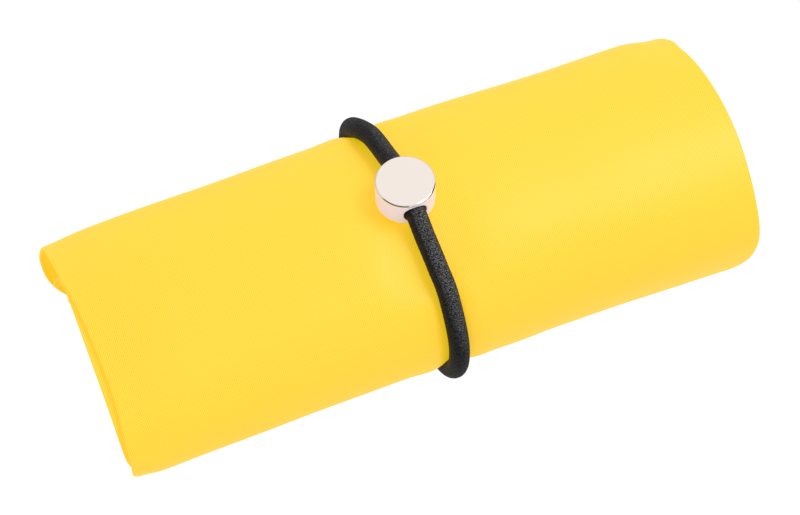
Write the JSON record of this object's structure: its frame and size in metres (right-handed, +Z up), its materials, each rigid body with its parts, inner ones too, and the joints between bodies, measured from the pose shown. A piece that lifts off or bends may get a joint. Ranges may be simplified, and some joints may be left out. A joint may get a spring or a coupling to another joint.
{
  "type": "foldable tote bag",
  "caption": "Thin polyester tote bag, folded in thirds and rolled up, held by a black elastic loop with a round metal bead.",
  "frame": {"origin": "centre of the roll's footprint, on the surface it rests on, under the bead", "axes": "+X along the roll towards its rounder end, +Z up, -Y towards the front of the roll"},
  "size_m": [0.143, 0.0624, 0.0469],
  "materials": {
    "polyester": "yellow woven polyester, fine weave with a slight sheen",
    "strap": "yellow woven polyester, doubled and pressed flat",
    "thread": "yellow spun polyester sewing thread",
    "braid": "black braided polyester sleeve, matt with small bright flecks",
    "elastic_core": "natural rubber strands",
    "bead_metal": "polished nickel plate, warm white"
  },
  "bodies": {
    "bag": {"front_panel": "polyester", "back_panel": "polyester", "handle_front": "strap", "handle_back": "strap", "side_seam_left": "thread", "side_seam_right": "thread", "bottom_seam": "thread", "hem_thread_front": "thread", "hem_thread_back": "thread", "front_handle_tack_left": "thread", "front_handle_tack_right": "thread", "back_handle_tack_left": "thread", "back_handle_tack_right": "thread"},
    "loop": {"cord_sleeve": "braid", "cord_core": "elastic_core"},
    "bead": {"bead": "bead_metal"}
  },
  "joints": [
    {"name": "loop_slide", "type": "slide", "parent": "bag", "child": "loop", "axis": [1, 0, 0], "range_m": [-0.08, 0]},
    {"name": "bead_slide", "type": "hinge", "parent": "loop", "child": "bead", "pos_m": [0, 0, 0.0032], "axis": [1, 0, 0], "range_deg": [-16, 16]}
  ]
}
